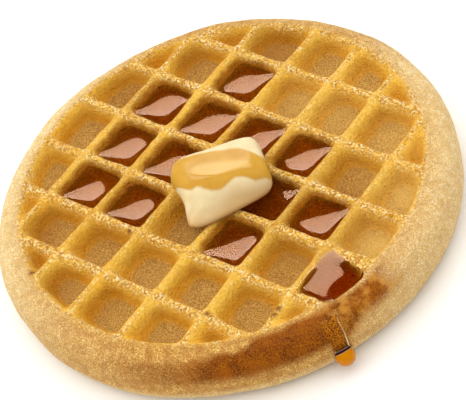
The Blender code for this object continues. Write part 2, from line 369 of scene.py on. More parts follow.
def polar(radius, angle, z):
    """Points, or directions, at this radius and angle around the middle."""
    return np.stack([radius * np.cos(angle), radius * np.sin(angle), z], axis=-1)


def add_object(name, data):
    obj = bpy.data.objects.new(name, data)
    bpy.context.scene.collection.objects.link(obj)
    return obj


def vertex_normals(points, faces):
    triangles = np.array([(f[0], f[k], f[k + 1]) for f in faces for k in range(1, len(f) - 1)])
    corners = points[triangles]
    normals = np.cross(corners[:, 1] - corners[:, 0], corners[:, 2] - corners[:, 0])
    total = np.zeros_like(points)
    for k in range(3):
        np.add.at(total, triangles[:, k], normals)
    return total / np.linalg.norm(total, axis=1, keepdims=True)


def band_faces(upper, lower):
    """Faces between two rings of as many points."""
    return list(zip(upper, lower, np.roll(lower, -1), np.roll(upper, -1)))


def add_mesh(name, points, faces, material):
    mesh = bpy.data.meshes.new(name)
    mesh.from_pydata([tuple(point) for point in points], [], [tuple(face) for face in faces])
    mesh.validate()
    mesh.shade_smooth()
    mesh.materials.append(material)
    return add_object(name, mesh)


def add_masks(obj, masks):
    """Values from 0 to 1 at each point, which the material reads."""
    for name, values in masks.items():
        layer = obj.data.attributes.new(name, "FLOAT", "POINT")
        layer.data.foreach_set("value", np.clip(values, 0, 1).astype(np.float32))


def grid_lines(ridge_lines, floor_lines):
    """Places of the grid's lines, counted in wells, denser over the ridges."""
    shares = np.concatenate(
        [
            np.linspace(-0.5, -0.5 + RIDGE_SHARE, ridge_lines, endpoint=False),
            np.linspace(-0.5 + RIDGE_SHARE, 0.5 - RIDGE_SHARE, floor_lines, endpoint=False),
            np.linspace(0.5 - RIDGE_SHARE, 0.5, ridge_lines, endpoint=False),
        ]
    )
    return np.concatenate([number + shares for number in range(-4, 5)])


def face_grid(lines, reach, ring_reach, segments):
    """A face of the waffle seen from above: x, y of its points, its faces and its outer ring.

    Its middle follows the ridges, and a band of triangles joins that to an even ring."""
    s, t = np.meshgrid(lines, lines, indexing="ij")
    x, y = place_of(s, t)
    within = np.hypot(x, y) < rim_radius(np.arctan2(y, x)) - reach
    full = within[:-1, :-1] & within[1:, :-1] & within[1:, 1:] & within[:-1, 1:]
    index = np.full(x.shape, -1)
    used = np.zeros(x.shape, bool)
    for di in (0, 1):
        for dj in (0, 1):
            used[di : di + full.shape[0], dj : dj + full.shape[1]] |= full
    index[used] = np.arange(used.sum())
    points = [tuple(point) for point in np.stack([x[used], y[used]], axis=1)]
    faces = []
    sides = {}
    for i, j in np.argwhere(full):
        face = (index[i, j], index[i + 1, j], index[i + 1, j + 1], index[i, j + 1])
        faces.append(face)
        for a, b in zip(face, face[1:] + face[:1]):
            if (b, a) in sides:
                del sides[(b, a)]
            else:
                sides[(a, b)] = True
    ring = []
    for k in range(segments):
        angle = math.tau * k / segments
        radius = rim_radius(angle) - ring_reach
        ring.append(len(points))
        points.append((radius * math.cos(angle), radius * math.sin(angle)))
    edge_points = sorted({p for side in sides for p in side}) + ring
    local = {p: k for k, p in enumerate(edge_points)}
    inner_edges = [(local[a], local[b]) for a, b in sides]
    ring_edges = [(local[a], local[b]) for a, b in zip(ring, ring[1:] + ring[:1])]
    flat = [Vector(points[p]) for p in edge_points]
    _, _, band, _, _, _ = delaunay_2d_cdt(flat, inner_edges + ring_edges, [], 0, 1e-9)
    directed = set(sides)
    ring_set = set(ring)
    for face in band:
        a, b, c = (edge_points[k] for k in face)
        touches_ring = bool({a, b, c} & ring_set)
        notch = any((q, p) in directed for p, q in ((a, b), (b, c), (c, a)))
        inner = any((p, q) in directed for p, q in ((a, b), (b, c), (c, a)))
        if touches_ring or (notch and not inner):
            faces.append((a, b, c))
    return np.array(points), faces, ring


def make_waffle(material):
    top, top_faces, top_ring = face_grid(
        grid_lines(RIDGE_LINES, FLOOR_LINES), GRID_REACH, RING_REACH, RIM_SEGMENTS
    )
    under, under_faces, under_ring = face_grid(
        grid_lines(UNDER_RIDGE_LINES, UNDER_FLOOR_LINES), GRID_REACH, RING_REACH, RIM_SEGMENTS
    )
    points = [np.column_stack([top, top_height(*top.T)])]
    points.append(np.column_stack([under, under_height(*under.T)]))
    faces = list(top_faces)
    faces += [tuple(k + len(top) for k in face[::-1]) for face in under_faces]
    loops = [np.array(top_ring)]
    base = len(top) + len(under)
    start = math.acos((1 - RING_REACH / RIM_INSET) ** (RIM_ROUNDNESS / 2))
    turn = math.tau * np.arange(RIM_SEGMENTS) / RIM_SEGMENTS
    for k in range(1, RIM_RINGS):
        tilt = start - 2 * start * k / RIM_RINGS
        out = abs(math.cos(tilt)) ** (2 / RIM_ROUNDNESS) * RIM_INSET
        up = math.copysign(abs(math.sin(tilt)) ** (2 / RIM_ROUNDNESS), math.sin(tilt))
        radius = rim_radius(turn) - RIM_INSET + out
        z = np.full(RIM_SEGMENTS, THICKNESS / 2 * (1 + up))
        points.append(polar(radius, turn, z))
        loops.append(np.arange(base, base + RIM_SEGMENTS))
        base += RIM_SEGMENTS
    loops.append(np.array(under_ring) + len(top))
    for upper, lower in zip(loops, loops[1:]):
        faces += band_faces(upper, lower)
    points, masks = shape_crust(np.concatenate(points), faces, len(top))
    waffle = add_mesh("waffle_crust", points, faces, material)
    add_masks(waffle, masks)
    return waffle


def spots(places, x, y):
    """How much each point is in the places of a table."""
    total = np.zeros(len(x))
    for place_x, place_y, reach, amount in places:
        away = np.hypot(x - place_x, y - place_y)
        total = np.maximum(total, amount * bell(0, reach, away))
    return total


def shape_crust(points, faces, top_count):
    """Roughens the baked surface, and gives the masks that its material reads."""
    x, y, z = points.T
    inside, column, row = well_inside(x, y)
    is_top = np.arange(len(points)) < top_count
    depth = np.where(is_top, top_depth(inside), 0) / WELL_WALL[-1][1]
    floor = smooth(*FLOOR_EDGE, inside) * is_top
    radius = np.hypot(x, y)
    distances = wall_distances(x, y, column, row)
    nearer_row = np.minimum(distances[0], distances[1]) - np.minimum(distances[2], distances[3])
    row_side = smooth(*ROW_SIDE_EDGE, nearer_row) * is_top
    from_low_x = np.maximum(distances[0] - CORNER_START, 0)
    from_high_y = np.maximum(distances[3] - CORNER_START, 0)
    # Painted shade: the floor darkens towards each well's far left corner, where its walls shade
    # it
    corner = np.exp(-(from_low_x + from_high_y) / CORNER_SHADE)
    corner *= smooth(*CORNER_EDGE, inside) * is_top
    # The crest mask places pale crumbs and painted glints on the ridge tops
    edges = (edge + more * row_side for edge, more in zip(COLUMN_CREST_EDGE, ROW_CREST_MORE))
    crest = 1 - smooth(*edges, inside + wobble(points, *CREST_WOBBLE))
    crumbly = np.maximum(row_side, smooth(*COLUMN_CRUMBS_RADII, radius))
    crest *= is_top * (COLUMN_CRUMBS + (1 - COLUMN_CRUMBS) * crumbly)
    out = np.hypot(x - GRID_CENTRE[0], y - GRID_CENTRE[1]) - GRID_RADIUS
    outside = smooth(*RING_EDGE, out) * is_top + ~is_top
    wet = np.zeros(len(points))
    for a, b, level in POOLS + ((*SPILL_WELL, SPILL_LEVEL),):
        edge = WET_EDGE if level > SHALLOWEST_POOL else FULL_WET_EDGE
        reach = pool_inside(x, y, a, b) + wobble(points, *WET_WOBBLE)
        wet = np.maximum(wet, smooth(*edge, reach))
    wet *= is_top
    normals = vertex_normals(points, faces)
    side = np.clip(1 - z / THICKNESS, 0, 1) * ~is_top
    bearing = np.degrees(np.arctan2(y, x))
    outer = smooth(*PALE_RADII, radius + wobble(points, *PALE_WOBBLE))
    pale = table_value(PALE_RIM, bearing) * (PALE_WITHIN + (1 - PALE_WITHIN) * outer)
    # Painted light: the foot of the rim is made paler, as if lit from the floor below
    pale = np.maximum(pale, FOOT_BOUNCE_LIGHT * smooth(*FOOT_BOUNCE_SHARES, side))
    is_high = z > THICKNESS / 5
    under_run = between(CALM_BEARINGS, bearing) * smooth(*CALM_RADII, radius) * is_high
    glaze = between(GLAZE_BEARINGS, bearing) * smooth(*GLAZE_RADII, radius) * is_high
    calm = (1 - CALM_UNDER_RUN * under_run) * (1 - CALM_SIDE * (side > 0))
    rough = calm * (1 - CALM_FLOOR * floor)
    shares = (1, rough, rough, calm, crest * calm, crest * calm)
    lift = sum(share * wobble(points, *bump) for bump, share in zip(BUMPS, shares))
    points = points + normals * lift[:, None]
    points[:, 2] = np.maximum(points[:, 2], 0)
    soak = between(SOAK_BEARINGS, bearing + wobble(points, *SOAK_BEARING_WOBBLE))
    past_start = radius - table_value(SOAK_START, bearing)
    soak *= smooth(*SOAK_EDGE, past_start + wobble(points, *SOAK_WOBBLE))
    more = SOAK_DOWN_MORE * (1 - smooth(*SOAK_DOWN_BEARINGS, bearing))
    soak *= 1 - smooth(SOAK_DOWN[0] + more, SOAK_DOWN[1] + more, side)
    masks = dict(depth=depth, floor=floor, corner=corner, crest=crest, wet=wet, rim=outside)
    masks.update(pale=pale, soak=soak, glaze=glaze, drier=smooth(*DRIER_BEARINGS, bearing))
    for name, places in (("toast", BROWNED), ("fair", FAIR), ("pore", PORES)):
        masks[name] = spots(places, x, y) * is_top
    return points, masks


# Materials


def shader_tree(name):
    material = bpy.data.materials.new(name)
    material.use_nodes = True
    return material, material.node_tree, material.node_tree.nodes["Principled BSDF"]


def set_inputs(node, inputs):
    """Sets a node's inputs to values, or links them from sockets."""
    for key, value in inputs.items():
        if isinstance(value, bpy.types.NodeSocket):
            value.id_data.links.new(value, node.inputs[key])
        else:
            node.inputs[key].default_value = value


def add_node(tree, kind, inputs=None, **settings):
    node = tree.nodes.new("ShaderNode" + kind)
    for key, value in settings.items():
        setattr(node, key, value)
    set_inputs(node, inputs or {})
    return node


def linear(red, green, blue):
    """A colour given as on screen, from 0 to 255, for a shader."""
    values = []
    for value in (red, green, blue):
        share = value / 255
        values.append(share / 12.92 if share <= 0.04045 else ((share + 0.055) / 1.055) ** 2.4)
    return (*values, 1.0)


def mixed(share, *colours):
    """A mix of two colours, each a socket or given as on screen."""
    first, second = (
        linear(*colour) if isinstance(colour, tuple) else colour for colour in colours
    )
    inputs = {0: share, 6: first, 7: second}
    return add_node(share.id_data, "Mix", inputs, data_type="RGBA").outputs[2]


def mask(tree, name):
    return add_node(tree, "Attribute", attribute_name=name).outputs["Fac"]


def scaled(value, low, high, to_low=0.0, to_high=1.0):
    ends = {"From Min": low, "From Max": high, "To Min": to_low, "To Max": to_high}
    return add_node(value.id_data, "MapRange", {"Value": value, **ends}).outputs["Result"]


def times(first, second):
    inputs = {0: first, 1: second}
    return add_node(first.id_data, "Math", inputs, operation="MULTIPLY").outputs[0]


def grain(tree, scale, detail=3.0, seed=0.0):
    """Noise in the object's own space, with this many bumps per metre."""
    place = add_node(tree, "TexCoord").outputs["Object"]
    moved = add_node(tree, "Mapping", {"Vector": place, "Location": (seed, seed, seed)})
    node = add_node(
        tree, "TexNoise", {"Vector": moved.outputs[0], "Scale": scale, "Detail": detail}
    )
    return node.outputs["Fac"]


def crust_material():
    material, tree, shader = shader_tree("toasted_crust")
    blotch = scaled(grain(tree, 130), 0.35, 0.65)
    patch = scaled(grain(tree, 240, 2.0, 5.0), 0.38, 0.62)
    speck = grain(tree, 1900, 3.0, 3.0)
    fleck = grain(tree, 3600, 2.0, 9.0)
    mottle = scaled(grain(tree, 900, 3.0, 11.0), 0.36, 0.62)
    crumb = scaled(fleck, 0.42, 0.60)
    streaks = grain(tree, 420, 4.0, 7.0)
    wall = mixed(blotch, (255, 205, 80), (247, 185, 49))
    wall = mixed(scaled(fleck, 0.42, 0.66, 0.0, 0.5), wall, (255, 222, 116))
    # Painted shade: the walls darken from the crest down into each well; the same shaded colour is
    # also mottled in at random
    deep = mixed(blotch, (219, 148, 30), (206, 130, 14))
    wall = mixed(scaled(mask(tree, "depth"), 0.1, 0.75, 0.0, 0.75), wall, deep)
    wall = mixed(scaled(mottle, 0.0, 1.0, 0.25, 0.0), wall, deep)
    # Partly painted highlight: pale cream flecks on the crests stand for glints of light as well
    # as pale crumbs
    sparkle = scaled(grain(tree, 1900, 3.0, 13.0), 0.46, 0.60)
    crumbs = mixed(sparkle, (194, 130, 32), (252, 230, 172))
    crest = mixed(scaled(mottle, 0.0, 1.0, 0.25, 1.0), wall, crumbs)
    floor = mixed(scaled(fleck, 0.38, 0.62), (158, 110, 42), (216, 170, 90))
    golden = mixed(crumb, (186, 124, 32), (246, 202, 104))
    cream = mixed(crumb, (238, 202, 128), (255, 242, 204))
    golden = mixed(scaled(mottle, 0.0, 1.0, 0.5, 0.0), golden, (176, 104, 16))
    golden = mixed(scaled(streaks, 0.45, 0.58, 0.0, 0.5), golden, (170, 98, 12))
    cream = mixed(scaled(mottle, 0.0, 1.0, 0.35, 0.0), cream, (238, 190, 100))
    cream = mixed(scaled(streaks, 0.50, 0.64, 0.0, 0.20), cream, (228, 172, 78))
    # The pale mask also holds the painted bounce light at the foot of the rim
    rim = mixed(mask(tree, "pale"), golden, cream)
    soaked = mixed(patch, (104, 42, 0), (144, 72, 2))
    soaked = mixed(scaled(fleck, 0.4, 0.62, 0.0, 0.6), soaked, (190, 114, 12))
    dry = times(mask(tree, "drier"), 0.8)
    dry = times(scaled(streaks, 0.44, 0.6), dry)
    soaked = mixed(dry, soaked, (206, 142, 52))
    wet = mixed(blotch, (156, 84, 4), (134, 62, 0))
    wet = mixed(scaled(fleck, 0.4, 0.62, 0.0, 0.5), wet, (210, 136, 26))
    glazed = mixed(crumb, (112, 50, 0), (204, 128, 10))
    colour = wall
    for name, share, layer in (
        # corner is painted shade in each well's far left corner
        ("floor", 1.0, floor), ("corner", 0.85, (150, 90, 10)), ("toast", 0.6, (160, 96, 18)),
        ("fair", 0.5, (248, 204, 110)), ("crest", 1.0, crest), ("rim", 1.0, rim),
        ("soak", 1.0, soaked), ("wet", 0.92, wet), ("glaze", 1.0, glazed),
        ("pore", 1.0, (134, 66, 2)),
    ):
        colour = mixed(times(mask(tree, name), share), colour, layer)
    roughness = scaled(mask(tree, "wet"), 0.0, 1.0, 0.62, 0.3)
    fine = add_node(
        tree, "Bump", {"Strength": 0.8, "Distance": 0.0006, "Height": fleck}
    ).outputs[0]
    coarse = add_node(
        tree, "Bump", {"Strength": 0.8, "Distance": 0.0007, "Height": speck, "Normal": fine}
    ).outputs[0]
    set_inputs(shader, {"Base Color": colour, "Roughness": roughness, "Normal": coarse})
    set_inputs(shader, {"Specular IOR Level": 0.1})
    return material


def syrup_material(name):
    material, tree, shader = shader_tree(name)
    set_inputs(shader, {"Base Color": (1.0, 1.0, 1.0, 1.0), "Roughness": 0.05, "IOR": 1.40})
    set_inputs(shader, {"Transmission Weight": 1.0, "Specular Tint": (1.0, 0.54, 0.23, 1.0)})
    volume = add_node(
        tree, "VolumeAbsorption", {"Color": (0.965, 0.785, 0.05, 1.0), "Density": 790.0}
    )
    set_inputs(tree.nodes["Material Output"], {"Volume": volume.outputs[0]})
    return material, tree, shader


def run_material():
    """The syrup, with the glow, the painted glints and the painted shadow lines of the run and the
    drop.
    """
    material, tree, shader = syrup_material("dark_syrup_run")
    colour = mixed(mask(tree, "amber"), (255, 255, 255), (224, 142, 8))
    film = mixed(scaled(grain(tree, 2200), 0.45, 0.6), (92, 38, 0), (186, 112, 8))
    colour = mixed(mask(tree, "film"), colour, film)
    # Painted highlight: a pale glint along the run's right edge
    colour = mixed(mask(tree, "glint"), colour, (255, 232, 180))
    # Painted shadow: a dark band on the drop and a dark line beside the run's right edge
    colour = mixed(mask(tree, "dark"), colour, (44, 12, 0))
    clear = scaled(mask(tree, "filled"), 0.0, 1.0, 1.0, 0.0)
    set_inputs(shader, {"Base Color": colour, "Transmission Weight": clear})
    return material


def butter_material():
    material, tree, shader = shader_tree("soft_butter")
    shade = scaled(grain(tree, 260), 0.3, 0.7)
    cream = mixed(shade, (226, 211, 174), (216, 196, 150))
    # Painted shade: the front of the pat is darkened towards its right
    cream = mixed(times(mask(tree, "front_shade"), 0.8), cream, (200, 170, 120))
    # Painted shade: the butter darkens towards its foot, where it sits on the crust
    low = mixed(scaled(mask(tree, "height"), 0.0, 0.55), (196, 152, 92), cream)
    golden = mixed(shade, (198, 152, 58), (188, 138, 42))
    # Painted reflection: the proud band on the melt is painted lighter, where the light reflects
    # in it
    golden = mixed(times(mask(tree, "band"), 0.6), golden, (222, 186, 116))
    colour = mixed(mask(tree, "melt"), low, golden)
    roughness = scaled(mask(tree, "melt"), 0.0, 1.0, 0.42, 0.3)
    set_inputs(shader, {"Base Color": colour, "Roughness": roughness, "Specular IOR Level": 0.12})
    set_inputs(shader, {"Subsurface Weight": 0.35, "Subsurface Scale": 0.002})
    set_inputs(shader, {"Subsurface Radius": (1.0, 0.7, 0.35)})
    return material


def floor_material():
    material, _, shader = shader_tree("pale_floor")
    set_inputs(shader, {"Base Color": (0.92, 0.92, 0.92, 1.0), "Roughness": 0.9})
    return material


# Syrup


POOL_RAYS = 96
POOL_RINGS = 26
# Insets among which that of a pool's contact line is looked for: first, last and how many
POOL_INSETS = (-0.0002, 0.0025, 400)
# How high a pool climbs its walls, over which width, and how far it reaches into them
MENISCUS_RISE = 0.0010
MENISCUS_REACH = 0.0022
POOL_OVERLAP = 0.0004
# The flat of its underside: how far inside the well's edge, and how far below the well's floor
POOL_FLOOR_INSET = 0.0019
POOL_SINK = 0.0004
# Shares of the way down where its wall has rings
POOL_WALL_SHARES = (0.35, 0.7, 1.0)
# Slope of each pool's surface along x: at the waffle's middle, and its change per metre of x
POOL_LEAN = -0.022
POOL_LEAN_RATE = 0.35
# How far the full well's surface lies below the face in its middle and at its walls, and how much
# it rises towards high x and falls towards high y
SPILL_SURFACE_LEVEL = 0.00005
SPILL_CONTACT = 0.00015
SPILL_TILT = 0.018
# Where it dips, or rises where the depth is negative: place, reach both ways and depth
SPILL_BOWS = (
    (0.0432, -0.0136, 0.0024, 0.0030, 0.0006),
    (0.0368, -0.0194, 0.0026, 0.0013, 0.0006),
    (0.0385, -0.0064, 0.0034, 0.0020, -0.0003),
    (0.0322, -0.0130, 0.0014, 0.0040, -0.0002),
)

# The run over the rim: bearings of its left and right edge, by share of the way down
RUN_LEFT = ((0.0, -24.6), (0.25, -26.2), (0.45, -27.8), (0.7, -28.3), (1.0, -28.3))
RUN_RIGHT = ((0.0, -21.6), (0.25, -22.9), (0.45, -23.9), (0.7, -24.0), (1.0, -24.2))
# How far its film stands out of the crust, which it does only near its end
RUN_FILM = ((0.0, -0.0003), (0.92, -0.0003), (1.0, 0.0004))
# Its raised edges: height, place and width across the run, which is -1 at its left and 1 at its
# right, and between which shares of the way down they rise
RUN_RIDGES = ((0.0009, 0.80, 0.13, (0.15, 0.4)), (0.0007, -0.80, 0.12, (0.4, 0.6)))
# How deep it is in the crust
RUN_SINK = 0.0006
RUN_STEPS = 90
RUN_SIDE_STEPS = 40
# It starts at this radius and ends at this height, this far along the rim from the flat ring
RUN_START_RADIUS = 0.0436
RUN_END_HEIGHT = 0.0030
RUN_ARC = 0.009
DROP_DIAMETER = 0.0042
DROP_CENTRE = (0.0465, -0.0229, 0.0036)
SPILL_VOXEL = 0.00009
SPILL_EASING = 5

# Looks of the drop, which reach out to these multiples of its radius: a painted shadow band around
# this direction, and amber past the band
DROP_NEAR = (1.12, 1.3)
DROP_BAND_ACROSS = (-0.635, 0.328, 0.699)
DROP_BAND = ((0.40, 0.50), (0.66, 0.78))
DROP_AMBER = (0.42, 0.50)
# Looks of the run, from these radii outwards: share of the way down by height, and place and width
# across of its glint, a painted highlight, its dark line, a painted shadow, and its broken streak
RUN_OUTER = (0.0462, 0.0472)
RUN_HEIGHTS = ((RUN_END_HEIGHT, 1.0), (0.0085, 0.62), (0.0114, 0.45))
RUN_GLINT = (0.80, 0.09)
RUN_DARK = (1.06, 0.08)
RUN_STREAK = (-0.80, 0.16)
STREAK_BREAKS = (0.0006, 12)
# How strong they are: the painted glint at the top of the run, the painted shadow line and the
# streak
GLINT_LEAST = 0.35
DARK_SHARE = 0.6
STREAK_SHARE = 0.9
# How much of the amber is opaque
AMBER_FILL = 0.7


def pool_inside(x, y, column, row):
    return soft_min(wall_distances(x, y, column, row), CORNER_SOFTNESS)


def deepest_point(column, row):
    steps = np.linspace(-0.48, 0.48, 49) * PITCH
    dx, dy = (values.ravel() for values in np.meshgrid(steps, steps))
    x = GRID_CENTRE[0] + column * PITCH + dx
    y = GRID_CENTRE[1] + row * PITCH + dy
    best = int(np.argmax(pool_inside(x, y, column, row)))
    return x[best], y[best]


def pool_mesh(column, row, level, contact):
    """A pool that climbs its walls a little and reaches just into them."""
    x0, y0 = deepest_point(column, row)
    insets = np.linspace(*POOL_INSETS)
    inset = float(np.interp(contact, top_depth(insets), insets)) - POOL_OVERLAP
    angles = math.tau * np.arange(POOL_RAYS) / POOL_RAYS
    radii, floor_radii = (
        outline(x0, y0, angles, 1.6 * PITCH, lambda x, y: pool_inside(x, y, column, row), edge)
        for edge in (inset, POOL_FLOOR_INSET)
    )
    rings = []
    for k in range(POOL_RINGS + 1):
        share = math.sin(math.pi / 2 * k / POOL_RINGS)
        x = x0 + share * radii * np.cos(angles)
        y = y0 + share * radii * np.sin(angles)
        flat = np.ones(POOL_RAYS)
        for distance in wall_distances(x, y, column, row):
            flat *= 1 - np.exp(-np.maximum(distance - inset, 0) / MENISCUS_REACH)
        z = THICKNESS - level + (level - contact) * (1 - flat)
        if (column, row) == SPILL_WELL:
            for bow_x, bow_y, reach_x, reach_y, depth in SPILL_BOWS:
                z -= depth * bell(bow_x, reach_x, x) * bell(bow_y, reach_y, y)
            z += SPILL_TILT * ((x - x0) - (y - y0))
        else:
            z += (POOL_LEAN + POOL_LEAN_RATE * x0) * (x - x0)
        rings.append(np.column_stack([x, y, z]))
    middle_z = rings[0][0, 2]
    bottom = THICKNESS - WELL_WALL[-1][1] - POOL_SINK
    wall = []
    for share in POOL_WALL_SHARES:
        r = radii + (floor_radii - radii) * share
        z = rings[-1][:, 2] + (bottom - rings[-1][:, 2]) * share
        wall.append(polar(r, angles, z) + (x0, y0, 0))
    rings = rings[1:] + wall
    points = np.concatenate([[[x0, y0, middle_z]]] + rings + [[[x0, y0, bottom]]])
    loops = [1 + number * POOL_RAYS + np.arange(POOL_RAYS) for number in range(len(rings))]
    faces = [(0, a, b) for a, b in zip(loops[0], np.roll(loops[0], -1))]
    for upper, lower in zip(loops, loops[1:]):
        faces += band_faces(upper, lower)
    faces += [(len(points) - 1, b, a) for a, b in zip(loops[-1], np.roll(loops[-1], -1))]
    return points, faces


def joined(parts):
    """Points and faces of several meshes as one."""
    points = np.concatenate([part[0] for part in parts])
    faces = []
    base = 0
    for part_points, part_faces in parts:
        faces += [tuple(k + base for k in face) for face in part_faces]
        base += len(part_points)
    return points, faces


def make_pools(material):
    parts = [pool_mesh(column, row, level, level - MENISCUS_RISE) for column, row, level in POOLS]
    return add_mesh("syrup_pools", *joined(parts), material)


def rim_place(azimuth, along):
    """A place on the waffle's rim, and its outward direction, this share of the way from the
    flat ring down to the run's end."""
    flat = rim_radius(azimuth) - RIM_INSET
    ring_run = flat - RUN_START_RADIUS
    low_tilt = -math.asin((1 - 2 * RUN_END_HEIGHT / THICKNESS) ** (RIM_ROUNDNESS / 2))
    ring_share = ring_run / (ring_run + RUN_ARC)
    share = np.clip((along - ring_share) / (1 - ring_share), 0, 1)
    tilt = math.pi / 2 + (low_tilt - math.pi / 2) * share
    out = np.abs(np.cos(tilt)) ** (2 / RIM_ROUNDNESS)
    up = np.sign(np.sin(tilt)) * np.abs(np.sin(tilt)) ** (2 / RIM_ROUNDNESS)
    radius = flat + RIM_INSET * out
    radius = np.where(along < ring_share, RUN_START_RADIUS + ring_run * along / ring_share, radius)
    normal_out = np.abs(np.cos(tilt)) ** (2 - 2 / RIM_ROUNDNESS) / RIM_INSET
    normal_up = np.sign(np.sin(tilt)) * np.abs(np.sin(tilt)) ** (2 - 2 / RIM_ROUNDNESS)
    normal_up = normal_up / (THICKNESS / 2)
    length = np.hypot(normal_out, normal_up)
    place = polar(radius, azimuth, THICKNESS / 2 * (1 + up))
    return place, polar(normal_out / length, azimuth, normal_up / length)


def run_mesh():
    """The run over the rim: a film with raised edges."""
    along, side = np.meshgrid(
        np.linspace(0, 1, RUN_STEPS), np.linspace(-1, 1, RUN_SIDE_STEPS), indexing="ij"
    )
    left = np.radians(table_value(RUN_LEFT, along))
    right = np.radians(table_value(RUN_RIGHT, along))
    azimuth = (left + right) / 2 + side * (right - left) / 2
    place, outward = rim_place(azimuth, along)
    film = table_value(RUN_FILM, along)
    height = film * np.where(film > 0, (1 - side**2) ** 0.4, 1)
    for ridge, middle, width, rise in RUN_RIDGES:
        height += ridge * bell(middle, width, side) * smooth(*rise, along)
    low = place - outward * RUN_SINK
    high = place + outward * height[..., None]
    points = np.concatenate([high.reshape(-1, 3), low.reshape(-1, 3)])
    count = RUN_STEPS * RUN_SIDE_STEPS
    index = np.arange(count).reshape(RUN_STEPS, RUN_SIDE_STEPS)
    faces = []
    for i in range(RUN_STEPS - 1):
        for j in range(RUN_SIDE_STEPS - 1):
            quad = (index[i, j], index[i + 1, j], index[i + 1, j + 1], index[i, j + 1])
            faces += [quad, tuple(k + count for k in quad[::-1])]
    border = list(index[:, 0]) + list(index[-1, 1:]) + list(index[-2::-1, -1])
    border += list(index[0, -2:0:-1])
    for a, b in zip(border, border[1:] + border[:1]):
        faces.append((b, a, a + count, b + count))
    return points, faces


def drop_mesh():
    bm = bmesh.new()
    bmesh.ops.create_icosphere(bm, subdivisions=5, radius=DROP_DIAMETER / 2)
    points = np.array([vertex.co[:] for vertex in bm.verts]) + np.array(DROP_CENTRE)
    faces = [tuple(vertex.index for vertex in face.verts) for face in bm.faces]
    bm.free()
    return points, faces


def apply_modifiers(obj):
    """Bakes an object's modifiers into its mesh."""
    depsgraph = bpy.context.evaluated_depsgraph_get()
    mesh = bpy.data.meshes.new_from_object(obj.evaluated_get(depsgraph))
    obj.modifiers.clear()
    obj.data = mesh
    obj.data.shade_smooth()


def run_masks(points):
    """Where the run and the drop look amber, and where their painted shadows and painted
    highlights lie, for their material.
    """
    offset = (points - np.array(DROP_CENTRE)) / (DROP_DIAMETER / 2)
    near = 1 - smooth(*DROP_NEAR, np.linalg.norm(offset, axis=1))
    across = offset @ np.array(DROP_BAND_ACROSS)
    band = near * between(DROP_BAND, across)
    amber = near * (1 - smooth(*DROP_AMBER, across))
    bearing = np.degrees(np.arctan2(points[:, 1], points[:, 0]))
    along = table_value(RUN_HEIGHTS, points[:, 2])
    left, right = table_value(RUN_LEFT, along), table_value(RUN_RIGHT, along)
    side = 2 * (bearing - left) / (right - left) - 1
    outer = smooth(*RUN_OUTER, np.hypot(points[:, 0], points[:, 1])) * (1 - near)
    # Painted highlight along the run's right edge
    glint = outer * bell(*RUN_GLINT, side)
    glint *= GLINT_LEAST + (1 - GLINT_LEAST) * smooth(0.5, 0.8, along)
    film = outer * (1 - smooth(1.0, 1.2, np.abs(side)))
    # Painted shadow: the band on the drop and the line outside the run's right edge
    dark = np.maximum(band, DARK_SHARE * outer * bell(*RUN_DARK, side))
    streak = outer * bell(*RUN_STREAK, side) * smooth(-0.1, 0.4, noise(points, *STREAK_BREAKS))
    amber = np.maximum(amber, STREAK_SHARE * streak)
    filled = np.clip(AMBER_FILL * amber + glint + dark + film, 0, 1)
    return {"amber": amber, "glint": glint, "film": film, "dark": dark, "filled": filled}


def make_spill(material):
    """The full well by the rim, the run from it and the drop at its end, as one."""
    pool = pool_mesh(*SPILL_WELL, SPILL_SURFACE_LEVEL, SPILL_CONTACT)
    spill = add_mesh("syrup_overflow", *joined([pool, run_mesh(), drop_mesh()]), material)
    remesh = spill.modifiers.new("one skin", "REMESH")
    remesh.mode = "VOXEL"
    remesh.voxel_size = SPILL_VOXEL
    ease = spill.modifiers.new("ease", "SMOOTH")
    ease.iterations = SPILL_EASING
    apply_modifiers(spill)
    points = np.empty(3 * len(spill.data.vertices))
    spill.data.vertices.foreach_get("co", points)
    add_masks(spill, run_masks(points.reshape(-1, 3)))
    return spill


# Butter


# Corners of the pat at its foot and at its top
BUTTER_FOOT = ((-0.0114, -0.0023), (0.0050, -0.0154), (0.0144, 0.0014), (0.0018, 0.0118))
BUTTER_TOP = ((-0.0096, -0.0026), (-0.0004, -0.0108), (0.0130, 0.0036), (0.0030, 0.0110))
BUTTER_BASE = THICKNESS + 0.0003
BUTTER_HEIGHT = 0.0062
BUTTER_SOFTNESS = 0.0011
BUTTER_REACH = 0.03
# Its side and the roundings of its edges: share of its height, and how far in
BUTTER_SIDE = (
    (0.0, 0.0052), (0.0, 0.0040), (0.0, 0.0028), (0.0, 0.0016), (0.08, 0.0006), (0.25, 0.0),
    (0.55, 0.0), (0.8, 0.0005), (0.93, 0.0014), (1.0, 0.0028),
)
# How far it sags into this well, from which inset, and over which width
BUTTER_SAG = 0.0018
SAG_WELL = (0, -1)
SAG_START = 0.0009
SAG_RUN = 0.0018
BUTTER_SEGMENTS = 260
BUTTER_SIDE_RINGS = 60
BUTTER_TOP_RINGS = 60
# Where the places along and across the pat are counted from, and which way is along
BUTTER_MIDDLE = (0.0015, 0.0003)
BUTTER_ALONG = (0.680, 0.733)
